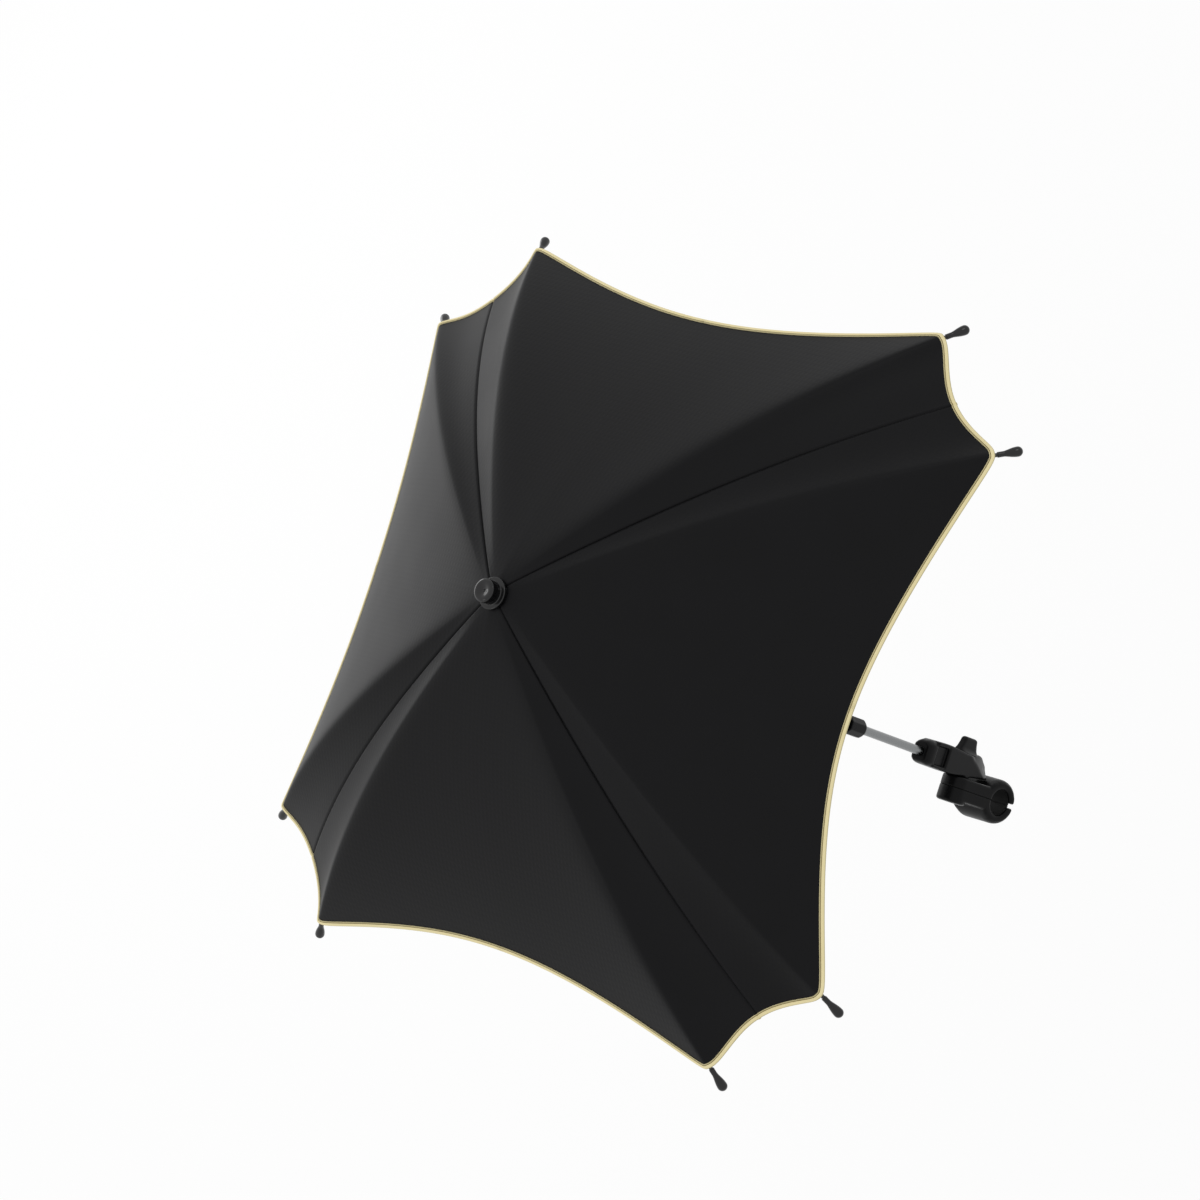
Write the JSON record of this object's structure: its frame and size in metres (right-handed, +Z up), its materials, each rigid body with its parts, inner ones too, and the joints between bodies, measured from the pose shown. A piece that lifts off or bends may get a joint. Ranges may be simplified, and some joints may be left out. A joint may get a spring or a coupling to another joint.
{
  "type": "pram parasol",
  "caption": "Square fabric sunshade on hinged ribs, with a tilting shaft, a swivelling screw clamp for a pram tube and scalloped edges bound with piping.",
  "frame": {"origin": "centre of the clamp bore that grips the pram tube", "axes": "+Z up the shaft to the canopy, +Y along the clamp screw towards its wing knob, +X towards the side of the canopy seen nearest in the picture"},
  "size_m": [0.6194, 0.6194, 0.7586],
  "materials": {
    "canopy_fabric": "black woven polyester with a satin sheen",
    "edge_binding": "gold coloured edge piping",
    "gloss_black": "glossy black moulding",
    "matte_black": "satin black moulding",
    "black_wire": "black painted steel wire",
    "shaft_metal": "bright drawn tube",
    "fixing_steel": "zinc plated",
    "grip_rubber": "soft black grip"
  },
  "bodies": {
    "jaw": {"upper_jaw": "matte_black", "jaw_liner_upper": "grip_rubber"},
    "pressing_jaw": {"lower_jaw": "matte_black", "jaw_liner_lower": "grip_rubber", "clamp_nut": "fixing_steel"},
    "arm": {"clamp_arm": "matte_black", "lower_shaft": "shaft_metal", "knuckle_lower": "matte_black"},
    "wing_screw": {"wing_knob": "matte_black", "clamp_bolt": "fixing_steel"},
    "canopy": {"knuckle_upper": "matte_black", "knuckle_pin": "fixing_steel", "upper_shaft": "shaft_metal", "crown_hub": "matte_black", "crown_pins": "fixing_steel", "ferrule_cap": "gloss_black", "canopy_panel_1": "canopy_fabric", "canopy_panel_2": "canopy_fabric", "canopy_panel_3": "canopy_fabric", "canopy_panel_4": "canopy_fabric", "edge_piping": "edge_binding"},
    "button": {"tilt_button": "gloss_black"},
    "runner": {"runner": "matte_black"},
    "rib_1": {"rib_1": "black_wire", "rib_tip_1": "gloss_black", "rib_clip_1": "matte_black"},
    "stretcher_1": {"stretcher_1": "black_wire"},
    "rib_2": {"rib_2": "black_wire", "rib_tip_2": "gloss_black", "rib_clip_2": "matte_black"},
    "stretcher_2": {"stretcher_2": "black_wire"},
    "rib_3": {"rib_3": "black_wire", "rib_tip_3": "gloss_black", "rib_clip_3": "matte_black"},
    "stretcher_3": {"stretcher_3": "black_wire"},
    "rib_4": {"rib_4": "black_wire", "rib_tip_4": "gloss_black", "rib_clip_4": "matte_black"},
    "stretcher_4": {"stretcher_4": "black_wire"},
    "rib_5": {"rib_5": "black_wire", "rib_tip_5": "gloss_black", "rib_clip_5": "matte_black"},
    "stretcher_5": {"stretcher_5": "black_wire"},
    "rib_6": {"rib_6": "black_wire", "rib_tip_6": "gloss_black", "rib_clip_6": "matte_black"},
    "stretcher_6": {"stretcher_6": "black_wire"},
    "rib_7": {"rib_7": "black_wire", "rib_tip_7": "gloss_black", "rib_clip_7": "matte_black"},
    "stretcher_7": {"stretcher_7": "black_wire"},
    "rib_8": {"rib_8": "black_wire", "rib_tip_8": "gloss_black", "rib_clip_8": "matte_black"},
    "stretcher_8": {"stretcher_8": "black_wire"}
  },
  "joints": [
    {"name": "swivel", "type": "hinge", "parent": "jaw", "child": "arm", "pos_m": [0, 0.02, 0.05], "axis": [0, 1, 0], "range_deg": [-90, 90]},
    {"name": "wing_turn", "type": "hinge", "parent": "arm", "child": "wing_screw", "pos_m": [0, 0.02, 0.05], "axis": [0, 1, 0], "range_deg": [0, 1806]},
    {"name": "jaw_slide", "type": "slide", "parent": "jaw", "child": "pressing_jaw", "axis": [0, -1, 0], "range_m": [0, 0.005]},
    {"name": "tilt", "type": "hinge", "parent": "arm", "child": "canopy", "pos_m": [0, 0.02, 0.251], "axis": [1, 0, 0], "range_deg": [-70, 70]},
    {"name": "button_press", "type": "slide", "parent": "canopy", "child": "button", "axis": [-1, 0, 0], "range_m": [0, 0.0025], "stiffness_N_per_m": 900},
    {"name": "runner_slide", "type": "slide", "parent": "canopy", "child": "runner", "axis": [0, 0, -1], "range_m": [0, 0.18775], "deforming": ["canopy_panel_1", "canopy_panel_2", "canopy_panel_3", "canopy_panel_4", "edge_piping"]},
    {"name": "rib_hinge_1", "type": "hinge", "parent": "canopy", "child": "rib_1", "pos_m": [0.01201, 0.02498, 0.715], "axis": [-0.5962, 0.8028, 0], "range_deg": [0, 58.2]},
    {"name": "stretcher_hinge_1", "type": "hinge", "parent": "rib_1", "child": "stretcher_1", "pos_m": [0.11834, 0.10395, 0.67576], "axis": [0.5962, -0.8028, 0], "range_deg": [0, 116.4]},
    {"name": "rib_hinge_2", "type": "hinge", "parent": "canopy", "child": "rib_2", "pos_m": [0.00498, 0.03201, 0.715], "axis": [-0.8028, 0.5962, 0], "range_deg": [0, 58.2]},
    {"name": "stretcher_hinge_2", "type": "hinge", "parent": "rib_2", "child": "stretcher_2", "pos_m": [0.08395, 0.13834, 0.67576], "axis": [0.8028, -0.5962, 0], "range_deg": [0, 116.4]},
    {"name": "rib_hinge_3", "type": "hinge", "parent": "canopy", "child": "rib_3", "pos_m": [-0.00498, 0.03201, 0.715], "axis": [-0.8028, -0.5962, 0], "range_deg": [0, 58.2]},
    {"name": "stretcher_hinge_3", "type": "hinge", "parent": "rib_3", "child": "stretcher_3", "pos_m": [-0.08395, 0.13834, 0.67576], "axis": [0.8028, 0.5962, 0], "range_deg": [0, 116.4]},
    {"name": "rib_hinge_4", "type": "hinge", "parent": "canopy", "child": "rib_4", "pos_m": [-0.01201, 0.02498, 0.715], "axis": [-0.5962, -0.8028, 0], "range_deg": [0, 58.2]},
    {"name": "stretcher_hinge_4", "type": "hinge", "parent": "rib_4", "child": "stretcher_4", "pos_m": [-0.11834, 0.10395, 0.67576], "axis": [0.5962, 0.8028, 0], "range_deg": [0, 116.4]},
    {"name": "rib_hinge_5", "type": "hinge", "parent": "canopy", "child": "rib_5", "pos_m": [-0.01201, 0.01503, 0.715], "axis": [0.5962, -0.8028, 0], "range_deg": [0, 58.2]},
    {"name": "stretcher_hinge_5", "type": "hinge", "parent": "rib_5", "child": "stretcher_5", "pos_m": [-0.11834, -0.06395, 0.67576], "axis": [-0.5962, 0.8028, 0], "range_deg": [0, 116.4]},
    {"name": "rib_hinge_6", "type": "hinge", "parent": "canopy", "child": "rib_6", "pos_m": [-0.00498, 0.00799, 0.715], "axis": [0.8028, -0.5962, 0], "range_deg": [0, 58.2]},
    {"name": "stretcher_hinge_6", "type": "hinge", "parent": "rib_6", "child": "stretcher_6", "pos_m": [-0.08395, -0.09834, 0.67576], "axis": [-0.8028, 0.5962, 0], "range_deg": [0, 116.4]},
    {"name": "rib_hinge_7", "type": "hinge", "parent": "canopy", "child": "rib_7", "pos_m": [0.00498, 0.00799, 0.715], "axis": [0.8028, 0.5962, 0], "range_deg": [0, 58.2]},
    {"name": "stretcher_hinge_7", "type": "hinge", "parent": "rib_7", "child": "stretcher_7", "pos_m": [0.08395, -0.09834, 0.67576], "axis": [-0.8028, -0.5962, 0], "range_deg": [0, 116.4]},
    {"name": "rib_hinge_8", "type": "hinge", "parent": "canopy", "child": "rib_8", "pos_m": [0.01201, 0.01503, 0.715], "axis": [0.5962, 0.8028, 0], "range_deg": [0, 58.2]},
    {"name": "stretcher_hinge_8", "type": "hinge", "parent": "rib_8", "child": "stretcher_8", "pos_m": [0.11834, -0.06395, 0.67576], "axis": [-0.5962, -0.8028, 0], "range_deg": [0, 116.4]}
  ],
  "couplings": [
    {"joint": "wing_turn", "follows": "jaw_slide", "rad_per_m": 6283.2},
    {"joint": "rib_hinge_1", "follows": "runner_slide", "rad_per_m": 5.3916},
    {"joint": "stretcher_hinge_1", "follows": "runner_slide", "rad_per_m": 10.783},
    {"joint": "rib_hinge_2", "follows": "runner_slide", "rad_per_m": 5.3916},
    {"joint": "stretcher_hinge_2", "follows": "runner_slide", "rad_per_m": 10.783},
    {"joint": "rib_hinge_3", "follows": "runner_slide", "rad_per_m": 5.3916},
    {"joint": "stretcher_hinge_3", "follows": "runner_slide", "rad_per_m": 10.783},
    {"joint": "rib_hinge_4", "follows": "runner_slide", "rad_per_m": 5.3916},
    {"joint": "stretcher_hinge_4", "follows": "runner_slide", "rad_per_m": 10.783},
    {"joint": "rib_hinge_5", "follows": "runner_slide", "rad_per_m": 5.3916},
    {"joint": "stretcher_hinge_5", "follows": "runner_slide", "rad_per_m": 10.783},
    {"joint": "rib_hinge_6", "follows": "runner_slide", "rad_per_m": 5.3916},
    {"joint": "stretcher_hinge_6", "follows": "runner_slide", "rad_per_m": 10.783},
    {"joint": "rib_hinge_7", "follows": "runner_slide", "rad_per_m": 5.3916},
    {"joint": "stretcher_hinge_7", "follows": "runner_slide", "rad_per_m": 10.783},
    {"joint": "rib_hinge_8", "follows": "runner_slide", "rad_per_m": 5.3916},
    {"joint": "stretcher_hinge_8", "follows": "runner_slide", "rad_per_m": 10.783}
  ]
}
